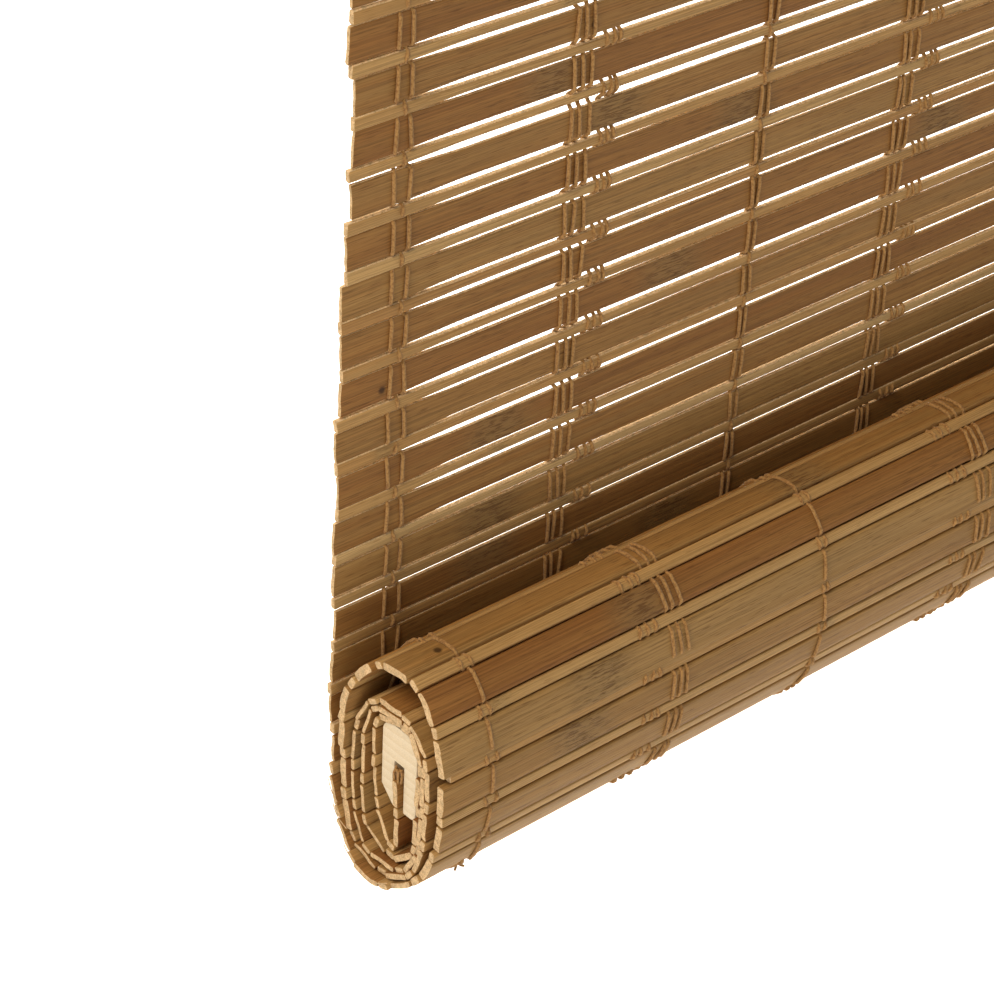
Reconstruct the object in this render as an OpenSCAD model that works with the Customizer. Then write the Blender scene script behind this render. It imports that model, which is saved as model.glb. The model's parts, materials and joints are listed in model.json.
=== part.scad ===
// Bamboo roll up blind, partly rolled up: a woven mat of slats and sticks that hangs from
// a head rail and is wound round a slotted core lath. The origin lies on the wall, midway
// between the two wall screws. +X runs along the blind, -Y faces the room, +Z is up.

/* [Mat] */
// Length of the slats and sticks, which is the width of the blind
mat_w = 610; // [400:1:900]
// Rows of one slat and one stick between the rail and the roll
hang_rows = 46; // [20:1:58]
// Width of a flat slat
slat_w = 9; // [7:0.1:12]
// Thickness of a flat slat
slat_t = 2.2; // [1.6:0.1:2.6]
// Width of the chamfer on a slat's skin side
slat_chamfer = 0.7; // [0.3:0.1:1]
// Width of a round stick
stick_w = 3; // [2.4:0.1:4]
// Thickness of a round stick
stick_t = 2.8; // [2.4:0.1:3.2]
// Open gap between a slat and a stick
row_gap = 1; // [0.5:0.1:1.6]
// How far the ends of slats and sticks jog in or out
end_jog = 2; // [0:0.1:3]

/* [Warp threads] */
// Thickness of a warp thread
thread_d = 0.9; // [0.6:0.05:1.2]
// Distance of the first and last thread column from the mat's edge
edge_margin = 17; // [12:0.5:24]
// Number of thread columns
columns = 10; // [8:2:12]
// Distance between the two threads of a pair
pair_gap = 4; // [3:0.1:6]
// Distance between neighbouring threads of a triple column
triple_gap = 2.7; // [2:0.1:3.2]
// Distance between the front threads and the back threads of a triple column
triple_shift = 10; // [9:0.1:14]
// Width of the thread band that binds each edge of the mat
band_w = 1.8; // [1.2:0.1:3]
// How far an edge band stands proud of the sticks
band_proud = 0.1; // [0.05:0.05:0.2]

/* [Roll] */
// Room between neighbouring turns at the back, front and top
turn_room = 0.4; // [0.3:0.05:1]
// Room between neighbouring turns at the bottom
bottom_room = 0.8; // [0.4:0.05:2]
// Extra room inside the loose outer turn at the front
front_slack = 0.7; // [0:0.1:8]
// Extra room inside the loose outer turn at the top
top_slack = 7.5; // [0:0.1:14]
// How far the innermost rows lie to the right of the outermost
roll_skew = 4.5; // [0:0.1:8]
// Clearance between the roll and the pieces it doesn't touch
clearance = 0.3; // [0.2:0.05:0.6]

/* [Core lath] */
// Depth of the lath from front to back
core_d = 14.5; // [12:0.5:20]
// Height of the lath
core_h = 27.5; // [24:0.5:36]
// Radius of the lath's rounded corners
core_round = 5; // [4:0.1:6]
// Room between the lath and the innermost turn
core_room = 1.1; // [1:0.05:2]
// How far the lath's ends lie inside the mat's edges
core_inset = 4.5; // [0:0.1:10]
// Height of the lath's top above the end of the hanging mat
core_rise = 14.3; // [10:0.1:20]
// Width of the slot that takes the mat's end
slot_w = 4.2; // [4:0.1:5]
// Depth of the slot
slot_depth = 15.7; // [12:0.1:18]

/* [Head rail] */
// Depth of the rail from front to back
rail_d = 22; // [18:0.5:30]
// Height of the rail
rail_h = 28; // [26:0.5:40]
// Chamfer along the rail's long edges
rail_chamfer = 1.5; // [0.5:0.1:3]
// Distance from the wall screws down to the rail's top
rail_drop = 8; // [6:0.5:14]
// Thickness of the clamp strip
strip_t = 4; // [3:0.1:6]
// Height of the clamp strip
strip_h = 24; // [20:0.5:26]
// Diameter of a nail's shank
nail_d = 1.8; // [1.4:0.1:2.4]
// Diameter of a nail's head
nail_head_d = 4; // [3:0.1:5]
// Thickness of a nail's head
nail_head_t = 0.8; // [0.5:0.1:1.2]

/* [Hanger plates] */
// Diameter of the wall screw holes
hole_d = 5; // [4:0.1:6]
// Width of a plate
plate_w = 20; // [16:0.5:30]
// Thickness of a plate
plate_t = 2; // [1.5:0.1:3]
// Distance between the two screws of a plate
plate_screw_gap = 10; // [8:0.5:12]
// Diameter of the plate and pulley screws
screw_d = 3; // [2.4:0.1:3.5]
// Diameter of a screw's head
screw_head_d = 5.4; // [4.5:0.1:6.5]
// Length of a screw below its head
screw_l = 16; // [14:0.5:18]

/* [Pulleys] */
// Distance of each pulley from the blind's middle
pulley_x = 150; // [110:1:160]
// Outer radius of a sheave
sheave_r = 7; // [6:0.1:9]
// Width of a sheave
sheave_w = 5; // [4:0.1:7]
// Depth of a sheave's cord groove
groove_depth = 1.8; // [1:0.1:2.2]
// Diameter of the axle
axle_d = 3; // [2.4:0.1:4]
// Running clearance between axle and sheave, on the radius
axle_play = 0.05; // [0.02:0.01:0.1]
// Diameter of the axle's riveted heads
rivet_d = 5; // [4.2:0.1:6]
// Thickness of the axle's riveted heads
rivet_t = 0.8; // [0.5:0.1:1.5]
// Thickness of the housing's steel
sheet_t = 1.2; // [0.8:0.1:2]
// Width of a housing's ears
ear_w = 12; // [8:0.5:14]
// Length of a housing's top plate
top_l = 34; // [30:0.5:44]
// Distance of the housing's screws from its middle
top_screw_x = 12; // [10:0.5:15]
// Room for the cord between sheave and housing
cord_room = 6.5; // [6.3:0.1:8]
// Side play of a sheave
side_play = 0.5; // [0.3:0.05:0.8]

/* [Hidden] */
row = slat_w + stick_w + 2 * row_gap;
half_t = stick_t / 2;
band_half = half_t + band_proud;

// Places from the wall forwards
strip_back = -plate_t;
strip_front = strip_back - strip_t;
mat_y = strip_front - thread_d - half_t;
rail_back = mat_y - half_t - thread_d;
rail_front = rail_back - rail_d;
rail_mid = (rail_back + rail_front) / 2;

// Places from the wall screws down
rail_top = -rail_drop;
rail_bottom = rail_top - rail_h;
roll_z = rail_top - hang_rows * row;

// Ends of slats and sticks, in a fixed irregular order
jog_seed = 7;
hang_jog = rands(-end_jog, end_jog, 2 * hang_rows, jog_seed);

// The spiral is drawn as u, forwards from the mat's plane, and v, up from the mat's end
turns = 4;
arc_steps = 10;
turn_step = stick_t + turn_room;
bottom_step = stick_t + bottom_room;
first_step = stick_t + thread_d + clearance;
back_u = [for (k = [0 : turns]) k == 0 ? 0 : first_step + (k - 1) * turn_step];
core_back = back_u[turns] + band_half + core_room;
core_front = core_back + core_d;
core_top = core_rise;
core_bottom = core_top - core_h;
slot_u = core_back + core_d / 2;
slot_top = core_bottom + slot_depth;
mat_end_v = slot_top - clearance;
fold_v = mat_end_v - 2 * slat_w - 1.5 * stick_w - 3 * row_gap;
fold_r = stick_w / 2;
front_u = [for (k = [0 : turns - 1])
    core_front + core_room + band_half + (turns - 1 - k) * turn_step + (k == 0 ? front_slack : 0)];
top_v = [for (k = [0 : turns - 1])
    core_top + core_room + band_half + (turns - 1 - k) * turn_step + (k == 0 ? top_slack : 0)];
bottom_v = [for (k = [0 : turns - 1]) fold_v - fold_r - (turns - k) * bottom_step];

// Where the turns' lowest and highest points lie between back and front
bottom_share = 0.4;
top_share = 0.47;
// Squareness of a turn, from the oval outer one to the innermost, which follows the lath
outer_square = 2.15;
inner_square = 4;
fold_square = 1.8;
function square_of(k) = outer_square + k * (inner_square - outer_square) / (turns - 1);

// Quarter of a squared-off oval that leaves a upright and comes to b level
function upright_arc(a, b, q) = [for (i = [0 : arc_steps - 1])
    let (t = 90 * i / arc_steps)
    [b[0] + (a[0] - b[0]) * pow(cos(t), 2 / q), a[1] + (b[1] - a[1]) * pow(sin(t), 2 / q)]];
// Quarter that leaves a level and comes to b upright
function level_arc(a, b, q) = [for (i = [0 : arc_steps - 1])
    let (t = 90 * i / arc_steps)
    [a[0] + (b[0] - a[0]) * pow(sin(t), 2 / q), b[1] + (a[1] - b[1]) * pow(cos(t), 2 / q)]];
function between(a, b, share) = a + (b - a) * share;
function turn_path(k) =
    let (low = [between(back_u[k], front_u[k], bottom_share), bottom_v[k]])
    let (high = [between(back_u[k + 1], front_u[k], top_share), top_v[k]])
    let (q = square_of(k))
    concat(
        upright_arc([back_u[k], 0], low, q),
        level_arc(low, [front_u[k], 0], q),
        upright_arc([front_u[k], 0], high, q),
        level_arc(high, [back_u[k + 1], 0], q));
// From the innermost turn down to the fold below the lath, and up into its slot
tail_path = upright_arc([back_u[turns], 0], [slot_u - 2 * fold_r, fold_v], fold_square);
fold_path = [for (i = [0 : arc_steps])
    let (t = 180 + 180 * i / arc_steps)
    [slot_u - fold_r + fold_r * cos(t), fold_v + fold_r * sin(t)]];
roll_path = concat(
    [for (k = [0 : turns - 1]) each turn_path(k)],
    tail_path,
    fold_path,
    [[slot_u, mat_end_v]]);

// Length along the spiral, and the point at a given length
last = len(roll_path) - 1;
run = [for (i = 0, s = 0; i <= last;
    s = s + (i < last ? norm(roll_path[i + 1] - roll_path[i]) : 0), i = i + 1) s];
run_u = [for (i = [0 : last]) [run[i], roll_path[i][0]]];
run_v = [for (i = [0 : last]) [run[i], roll_path[i][1]]];
roll_l = run[last];
function path_at(s) = [lookup(s, run_u), lookup(s, run_v)];

// Rows in the roll, counted from the mat's end in the slot
roll_rows = round((roll_l + stick_w + row_gap) / row);
roll_row = (roll_l + stick_w + row_gap) / roll_rows;
roll_jog = rands(-end_jog, end_jog, 2 * roll_rows, jog_seed + 1);
function slat_run(j) = roll_l - slat_w / 2 - j * roll_row;
function stick_run(j) = roll_l - slat_w - row_gap - stick_w / 2 - j * roll_row;
function skew_at(s) = roll_skew * s / roll_l;

// Thread columns
column_step = (mat_w - 2 * edge_margin) / (columns - 1);
function column_x(c) = -mat_w / 2 + edge_margin + c * column_step;
function is_pair(c) = c % 2 == 0;

// Pulleys: the axle's height, and the room between the ears
axle_z = rail_bottom - sheet_t - cord_room - sheave_r;
function ear_gap(n) = n * sheave_w + (n + 1) * side_play;
function sheave_y(n, i) = rail_mid + (i - (n - 1) / 2) * (sheave_w + side_play);

// Nails and plates sit midway between thread columns
nail_columns = [for (c = [0 : 2 : columns - 2]) c + 0.5];
plate_x = -column_x(1.5);
strip_mid_z = rail_top - strip_h / 2;
nail_z = rail_top - slat_w / 2;
nail_l = strip_t + 2 * thread_d + stick_t + rail_d / 2;
screw_head_t = 1.4;
screw_tip = 4;
hole_play = 0.15;
axle_fit = 0.02;
strip_chamfer = 0.8;
cut = 0.5;

bamboo = "#9a7040";
pine = "#e6d2ae";
cotton = "#a87846";
zinc = "#b8bcc0";
nylon = "#e9e7e0";

// Sections of a slat and a stick: along the mat, then from its front face to its back
slat_profile = [
    [-slat_w / 2, slat_t / 2],
    [-slat_w / 2, slat_chamfer - slat_t / 2],
    [slat_chamfer - slat_w / 2, -slat_t / 2],
    [slat_w / 2 - slat_chamfer, -slat_t / 2],
    [slat_w / 2, slat_chamfer - slat_t / 2],
    [slat_w / 2, slat_t / 2]];
stick_profile = [for (i = [0 : 5]) [stick_w / 2 * cos(60 * i), half_t * sin(60 * i) / sin(60)]];

// One slat or stick, its middle at mid, running along the mat in the direction ahead
module strip_piece(profile, mid, ahead, jog) {
    translate([jog - mat_w / 2, mat_y - mid[0], roll_z + mid[1]])
        rotate([atan2(ahead[1], -ahead[0]), 0, 0])
            rotate([90, 0, 90])
                linear_extrude(mat_w)
                    polygon(profile);
}

module hanging_piece(profile, drop, jog) {
    strip_piece(profile, [0, hang_rows * row - drop], [0, -1], jog);
}

module rolled_piece(profile, s, width, jog) {
    a = path_at(s - width / 2);
    b = path_at(s + width / 2);
    strip_piece(profile, (a + b) / 2, b - a, jog + skew_at(s));
}

module edge_positions() {
    for (c = [0, columns - 1])
        translate([column_x(c) - band_w / 2, 0, 0])
            children();
}

module hanging_mat() {
    color(bamboo)
        union() {
            for (j = [0 : hang_rows - 1]) {
                hanging_piece(slat_profile, j * row + slat_w / 2, hang_jog[2 * j]);
                hanging_piece(stick_profile, j * row + slat_w + row_gap + stick_w / 2, hang_jog[2 * j + 1]);
            }
            edge_positions()
                translate([0, mat_y - band_half, roll_z + clearance])
                    cube([band_w, 2 * band_half, hang_rows * row - clearance - row_gap]);
        }
}

// Unit normal of a path at one of its points
function path_normal(path, i) =
    let (d = path[min(i + 1, len(path) - 1)] - path[max(i - 1, 0)])
    [-d[1], d[0]] / norm(d);

// Thread band along a path of the roll, as thick as the band on the hanging mat
module band_along(path) {
    ends = len(path) - 1;
    side_a = [for (i = [0 : ends]) path[i] + band_half * path_normal(path, i)];
    side_b = [for (i = [ends : -1 : 0]) path[i] - band_half * path_normal(path, i)];
    roll_section()
        polygon([for (p = concat(side_a, side_b)) [-p[0], p[1]]]);
}

// Puts an outline, drawn as -u and v, at the roll and gives it the band's width
module roll_section() {
    translate([0, mat_y, roll_z])
        rotate([90, 0, 90])
            linear_extrude(band_w)
                children();
}

module roll_band() {
    for (k = [0 : turns - 1])
        band_along(concat(turn_path(k), [[back_u[k + 1], 0]]));
    band_along(tail_path);
    roll_section()
        translate([-slot_u - band_half, fold_v - fold_r - band_half])
            square([2 * band_half + 2 * fold_r, 2 * band_half]);
    roll_section()
        translate([-slot_u - band_half, fold_v - fold_r])
            square([2 * band_half, mat_end_v - fold_v + fold_r - row_gap]);
}

module rolled_mat() {
    color(bamboo)
        union() {
            for (j = [0 : roll_rows - 1])
                rolled_piece(slat_profile, slat_run(j), slat_w, roll_jog[2 * j]);
            for (j = [0 : roll_rows - 2])
                rolled_piece(stick_profile, stick_run(j), stick_w, roll_jog[2 * j + 1]);
            edge_positions()
                roll_band();
        }
}

// Section of the lath, drawn as -u and v
module core_section() {
    difference() {
        translate([-core_front, core_bottom])
            rounded_square(core_d, core_h, core_round);
        translate([-slot_u - slot_w / 2, core_bottom - cut])
            square([slot_w, slot_depth + cut]);
    }
}

module rounded_square(w, h, r) {
    translate([r, 0])
        square([w - 2 * r, h]);
    translate([0, r])
        square([w, h - 2 * r]);
    for (x = [r, w - r], y = [r, h - r])
        translate([x, y])
            circle(r, $fn = 48);
}

module core_lath() {
    color(pine)
        translate([core_inset - mat_w / 2, mat_y, roll_z])
            rotate([90, 0, 90])
                linear_extrude(mat_w - 2 * core_inset)
                    core_section();
}

// Batten with chamfered long edges, its back bottom edge at the origin
module batten(d, h, chamfer) {
    translate([-mat_w / 2, 0, 0])
        rotate([90, 0, 90])
            linear_extrude(mat_w)
                polygon([
                    [-chamfer, 0], [0, chamfer], [0, h - chamfer], [-chamfer, h],
                    [chamfer - d, h], [-d, h - chamfer], [-d, chamfer], [chamfer - d, 0]]);
}

module head_rail() {
    color(pine)
        translate([0, rail_back, rail_bottom])
            batten(rail_d, rail_h, rail_chamfer);
}

module clamp_strip() {
    color(pine)
        translate([0, strip_back, rail_top - strip_h])
            batten(strip_t, strip_h, strip_chamfer);
}

module clamp_nails() {
    color(zinc)
        for (c = nail_columns)
            translate([column_x(c), strip_back, nail_z])
                rotate([90, 0, 0])
                    nail();
}

// Nail along +Z with the underside of its head at the origin
module nail() {
    translate([0, 0, -nail_head_t])
        cylinder(h = nail_head_t, d = nail_head_d, $fn = 32);
    cylinder(h = nail_l, d = nail_d, $fn = 32);
}

// Wood screw along +Z with the top of its sunk head at the origin
module sunk_screw() {
    cylinder(h = screw_head_t, d1 = screw_head_d, d2 = screw_d, $fn = 32);
    screw_shank();
}

// The same screw with a flat head that stands below the origin
module flat_screw() {
    translate([0, 0, -screw_head_t])
        cylinder(h = screw_head_t, d = screw_head_d, $fn = 32);
    screw_shank();
}

module screw_shank() {
    cylinder(h = screw_l - screw_tip, d = screw_d, $fn = 32);
    translate([0, 0, screw_l - screw_tip])
        cylinder(h = screw_tip, d1 = screw_d, d2 = screw_d / 4, $fn = 32);
}

module plate_screw_places() {
    for (z = [-plate_screw_gap / 2, plate_screw_gap / 2])
        translate([0, 0, strip_mid_z + z])
            rotate([90, 0, 0])
                children();
}

module plate_blank() {
    rotate([90, 0, 0])
        linear_extrude(plate_t) {
            circle(d = plate_w, $fn = 64);
            translate([-plate_w / 2, rail_top - strip_h])
                square([plate_w, strip_h - rail_top]);
        }
}

module hanger_plate(x) {
    color(zinc)
        translate([x, 0, 0])
            difference() {
                plate_blank();
                rotate([90, 0, 0])
                    translate([0, 0, -cut])
                        cylinder(h = plate_t + 2 * cut, d = hole_d, $fn = 48);
                plate_screw_places() {
                    translate([0, 0, -cut])
                        cylinder(h = plate_t + 2 * cut, d = screw_d + 2 * hole_play, $fn = 32);
                    sunk_hole();
                }
            }
}

// Countersink that clears a sunk screw's head
module sunk_hole() {
    cylinder(h = screw_head_t, d1 = screw_head_d + 2 * hole_play, d2 = screw_d + 2 * hole_play, $fn = 32);
}

module plate_screws() {
    color(zinc)
        for (x = [-plate_x, plate_x])
            translate([x, 0, 0])
                plate_screw_places()
                    sunk_screw();
}

// Turns a shape on the Z axis to the axle of the pulley at x
module on_axle(x, y) {
    translate([x, y, axle_z])
        rotate([90, 0, 0])
            children();
}

// Bent steel housing for n sheaves: a top plate and two ears with round ends
module pulley_housing(x, n) {
    gap = ear_gap(n);
    color(zinc)
        difference() {
            union() {
                translate([x - top_l / 2, rail_mid - gap / 2 - sheet_t, rail_bottom - sheet_t])
                    cube([top_l, gap + 2 * sheet_t, sheet_t]);
                for (y = [rail_mid - gap / 2, rail_mid + gap / 2 + sheet_t])
                    ear(x, y);
            }
            on_axle(x, rail_mid + gap)
                cylinder(h = 2 * gap, d = axle_d + 2 * axle_fit, $fn = 48);
            for (side = [-1, 1])
                translate([x + side * top_screw_x, rail_mid, rail_bottom - sheet_t - cut])
                    cylinder(h = sheet_t + 2 * cut, d = screw_d + 2 * hole_play, $fn = 32);
        }
}

// One ear, its back face at y
module ear(x, y) {
    translate([x, y, axle_z])
        rotate([90, 0, 0])
            linear_extrude(sheet_t) {
                circle(d = ear_w, $fn = 64);
                translate([-ear_w / 2, 0])
                    square([ear_w, rail_bottom - axle_z]);
            }
}

module pulley_axle(x, n) {
    reach = ear_gap(n) / 2 + sheet_t;
    color(zinc)
        on_axle(x, rail_mid) {
            translate([0, 0, -reach])
                cylinder(h = 2 * reach, d = axle_d, $fn = 48);
            for (z = [-reach - rivet_t, reach])
                translate([0, 0, z])
                    cylinder(h = rivet_t, d = rivet_d, $fn = 48);
        }
}

// Grooved wheel number i of n on its axle
module sheave(x, n, i) {
    bore = axle_d / 2 + axle_play;
    color(nylon)
        on_axle(x, sheave_y(n, i))
            rotate_extrude($fn = 96)
                polygon([
                    [bore, -sheave_w / 2], [sheave_r, -sheave_w / 2],
                    [sheave_r - groove_depth, 0],
                    [sheave_r, sheave_w / 2], [bore, sheave_w / 2]]);
}

module pulley_screws() {
    color(zinc)
        for (x = [-pulley_x, pulley_x], side = [-1, 1])
            translate([x + side * top_screw_x, rail_mid, rail_bottom - sheet_t])
                flat_screw();
}

// Threads of one inner column: in front of the mat, and behind it
function front_threads(c) = is_pair(c)
    ? [-pair_gap / 2, pair_gap / 2]
    : [for (i = [-1 : 1]) i * triple_gap - triple_shift / 2];
function back_threads(c) = is_pair(c)
    ? [0]
    : [for (i = [-1 : 1]) i * triple_gap + triple_shift / 2];

module thread_line(x, y) {
    translate([x - thread_d / 2, y, roll_z + clearance])
        cube([thread_d, thread_d, hang_rows * row - clearance - row_gap]);
}

module warp(c) {
    color(cotton) {
        for (x = front_threads(c))
            thread_line(column_x(c) + x, mat_y - half_t - thread_d);
        for (x = back_threads(c))
            thread_line(column_x(c) + x, mat_y + half_t);
    }
}

hanging_mat();
rolled_mat();
core_lath();
head_rail();
clamp_strip();
clamp_nails();
hanger_plate(-plate_x);  // hanger_plate_left
hanger_plate(plate_x);  // hanger_plate_right
plate_screws();
pulley_housing(-pulley_x, 1);  // pulley_left_housing
pulley_axle(-pulley_x, 1);  // pulley_left_axle
sheave(-pulley_x, 1, 0);  // pulley_left_sheave
pulley_housing(pulley_x, 2);  // pulley_right_housing
pulley_axle(pulley_x, 2);  // pulley_right_axle
sheave(pulley_x, 2, 0);  // pulley_right_sheave_front
sheave(pulley_x, 2, 1);  // pulley_right_sheave_back
pulley_screws();
for (c = [1 : columns - 2])
    warp(c);
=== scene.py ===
import json
import math
import random

import bpy
import numpy as np
from mathutils import Matrix, Vector


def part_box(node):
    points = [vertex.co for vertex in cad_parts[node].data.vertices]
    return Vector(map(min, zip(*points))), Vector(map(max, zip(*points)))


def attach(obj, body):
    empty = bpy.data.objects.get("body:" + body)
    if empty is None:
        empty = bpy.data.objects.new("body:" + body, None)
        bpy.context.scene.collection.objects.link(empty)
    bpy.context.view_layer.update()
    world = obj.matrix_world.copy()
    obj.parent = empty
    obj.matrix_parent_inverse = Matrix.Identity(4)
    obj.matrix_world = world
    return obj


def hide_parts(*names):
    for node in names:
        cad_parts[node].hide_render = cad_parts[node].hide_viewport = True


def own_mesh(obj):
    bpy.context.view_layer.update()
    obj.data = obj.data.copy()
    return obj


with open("model.json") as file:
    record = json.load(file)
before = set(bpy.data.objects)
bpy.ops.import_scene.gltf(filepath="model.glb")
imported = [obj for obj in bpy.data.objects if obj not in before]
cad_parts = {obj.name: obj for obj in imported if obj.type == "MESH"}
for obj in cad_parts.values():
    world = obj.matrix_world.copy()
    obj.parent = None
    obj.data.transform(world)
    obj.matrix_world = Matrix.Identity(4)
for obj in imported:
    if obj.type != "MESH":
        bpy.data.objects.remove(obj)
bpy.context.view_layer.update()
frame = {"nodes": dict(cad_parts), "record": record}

mm = 0.001  # lengths in the dictionaries are millimetres
hair = 1e-5  # metres: points closer than this are in one place
print("frame loaded,", len(frame["nodes"]), "nodes")

# The woven mat, hanging and rolled: same sizes as the solids
mat = {
    "width": 610.0,
    "hangRows": 46,
    "slatWidth": 9.0,
    "slatThick": 2.2,
    "stickWidth": 3.0,
    "stickThick": 2.8,
    "rowGap": 1.0,
    "bandProud": 0.1,
}
rowStep = mat["slatWidth"] + mat["stickWidth"] + 2 * mat["rowGap"]
matLow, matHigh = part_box("hanging_mat")
matY = (matLow.y + matHigh.y) / 2 / mm
rollZ = matHigh.z / mm - mat["hangRows"] * rowStep

# The lath that the mat is wound on
lath = {
    "depth": 14.5,
    "height": 27.5,
    "rise": 14.3,  # its top above the end of the hanging mat
    "room": 1.1,
    "frontRoom": 0.6,
    "inset": 2.4,
    "slotWidth": 4.2,
    "slotDepth": 15.7,
    "frontTop": (6.5, 8),  # radius and steps of a rounded corner
    "backTop": (4.0, 6),
    "frontBottom": (2.0, 4),
    "backBottom": (5.0, 1),  # one step, a plain cut
    "worn": 0.4,
    "wornSteps": 2,
    "wornAngle": 50,
    "smoothAngle": 35,
}

# The roll's spiral, u forwards from the mat and v up from its end
roll = {
    "turns": 4,
    "turnRoom": 0.4,
    "tightRoom": -0.4,  # the inner turns lie tight at the front and top
    "bottomRoom": 0.4,
    "bottomV": -39.2,
    "frontSlack": 3.2,  # the outer turn is loose at the front and top
    "topSlack": 12.5,
    "slotStop": 5.0,  # the mat's end stops this far short of the slot's top
    "firstRoom": 1.2,
    "clearance": 0.3,
    "bottomShare": 0.4,
    "topShare": 0.54,
    "outerSquare": 2.08,
    "innerSquare": 4.0,
    "foldSquare": 1.8,
    "arcSteps": 10,
    "crestStick": 8.0,
    "curl": 0.7,  # how far the slats of the loose outer turn follow its curve
    "stoutFrom": 60.0,  # from here to the end of the loose run the pieces are stout
    "looseRun": 215.0,
    "bendRun": 62.0,  # as far as here the pieces spread on the outside of the bend
    "ends": (  # run along the spiral, and how far the ends there stand out or in
        (0, -1.5), (15, -3), (45, -3.2), (70, 0.2), (130, 0.6), (150, -1), (165, -3.5), (180, -3),
        (200, -1.5), (240, -0.5), (270, 0.4), (320, 0.6), (342, -1), (420, 0.8), (479, 0), (560, 1.5),
    ),
}


def endShift(s):
    return np.interp(s, *zip(*roll["ends"])) if s > 0 else 0.0


def clearSelection():
    if bpy.context.object and bpy.context.object.mode != "OBJECT":
        bpy.ops.object.mode_set(mode="OBJECT")
    bpy.ops.object.select_all(action="DESELECT")


def makeActive(*pieces):
    clearSelection()
    for piece in pieces:
        piece.select_set(True)
    bpy.context.view_layer.objects.active = pieces[0]


# Curves of the spiral: a quarter that leaves upright, and one that leaves level
def uprightArc(a, b, q):
    turn = np.radians(90 * np.arange(roll["arcSteps"]) / roll["arcSteps"])
    u = b[0] + (a[0] - b[0]) * np.cos(turn) ** (2 / q)
    v = a[1] + (b[1] - a[1]) * np.sin(turn) ** (2 / q)
    return np.column_stack([u, v])


def levelArc(a, b, q):
    turn = np.radians(90 * np.arange(roll["arcSteps"]) / roll["arcSteps"])
    u = a[0] + (b[0] - a[0]) * np.sin(turn) ** (2 / q)
    v = b[1] + (a[1] - b[1]) * np.cos(turn) ** (2 / q)
    return np.column_stack([u, v])


def windSpiral():
    turns = roll["turns"]
    bandHalf = mat["stickThick"] / 2 + mat["bandProud"]
    turnStep = mat["stickThick"] + roll["turnRoom"]
    bottomStep = mat["stickThick"] + roll["bottomRoom"]
    firstStep = mat["stickThick"] + roll["firstRoom"]
    back = [0.0] + [firstStep + k * turnStep for k in range(turns)]
    lathBack = back[turns] + bandHalf + lath["room"]
    lathFront = lathBack + lath["depth"]
    lathBottom = lath["rise"] - lath["height"]
    slotU = lathBack + lath["depth"] / 2
    endV = lathBottom + lath["slotDepth"] - roll["clearance"]
    foldV = endV - roll["slotStop"] - 2 * mat["slatWidth"] - mat["stickWidth"] - 2 * mat["rowGap"]
    foldR = mat["stickWidth"] / 2
    path = []
    for k in range(turns):
        outside = (turns - 1 - k) * (mat["stickThick"] + roll["tightRoom"])
        isLoose = k == 0
        front = lathFront + lath["frontRoom"] + bandHalf + outside + isLoose * roll["frontSlack"]
        top = lath["rise"] + lath["frontRoom"] + bandHalf + outside + isLoose * roll["topSlack"]
        bottom = roll["bottomV"] + k * bottomStep
        low = (back[k] + (front - back[k]) * roll["bottomShare"], bottom)
        high = (back[k + 1] + (front - back[k + 1]) * roll["topShare"], top)
        q = roll["outerSquare"] + k * (roll["innerSquare"] - roll["outerSquare"]) / (turns - 1)
        path.append(uprightArc((back[k], 0), low, q))
        path.append(levelArc(low, (front, 0), q))
        path.append(uprightArc((front, 0), high, q))
        path.append(levelArc(high, (back[k + 1], 0), q))
    path.append(uprightArc((back[turns], 0), (slotU - 2 * foldR, foldV), roll["foldSquare"]))
    turn = np.radians(180 + 180 * np.arange(roll["arcSteps"] + 1) / roll["arcSteps"])
    foldU = slotU - foldR + foldR * np.cos(turn)
    path.append(np.column_stack([foldU, foldV + foldR * np.sin(turn)]))
    path.append(np.array([[slotU, endV]]))
    return np.vstack(path), lathBack, lathBottom, slotU


spiral, lathBack, lathBottom, slotU = windSpiral()
spiralRun = np.concatenate([[0], np.cumsum(np.linalg.norm(np.diff(spiral, axis=0), axis=1))])
rollLength = spiralRun[-1]
topRun = spiralRun[3 * roll["arcSteps"]]  # three quarters round the outer turn
crestRun = topRun + roll["crestStick"]  # run of the stick on top of the outer turn


# Point of the mat at a run of s: negative above the roll, positive along the spiral
def matPoint(s):
    if s < 0:
        return np.array([0.0, -s])
    return np.array([np.interp(s, spiralRun, spiral[:, 0]), np.interp(s, spiralRun, spiral[:, 1])])


# Puts points, given along the blind, to the mat's front and along the mat, on the mat at run s
def placeOnMat(points, s, width=1.0):
    a, b = matPoint(s - width / 2), matPoint(s + width / 2)
    ahead = (b - a) / np.linalg.norm(b - a)
    front = np.array([-ahead[1], ahead[0]])
    curl = roll["curl"] if 0 < s < roll["looseRun"] else 0
    sag = np.dot(matPoint(s) - (a + b) / 2, front) * curl
    arched = points[:, 1:2] + sag * (1 - (2 * points[:, 2:3] / width) ** 2)
    uv = (a + b) / 2 + points[:, 2:3] * ahead + arched * front
    return np.column_stack([points[:, 0], matY - uv[:, 0], rollZ + uv[:, 1]]) * mm


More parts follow.
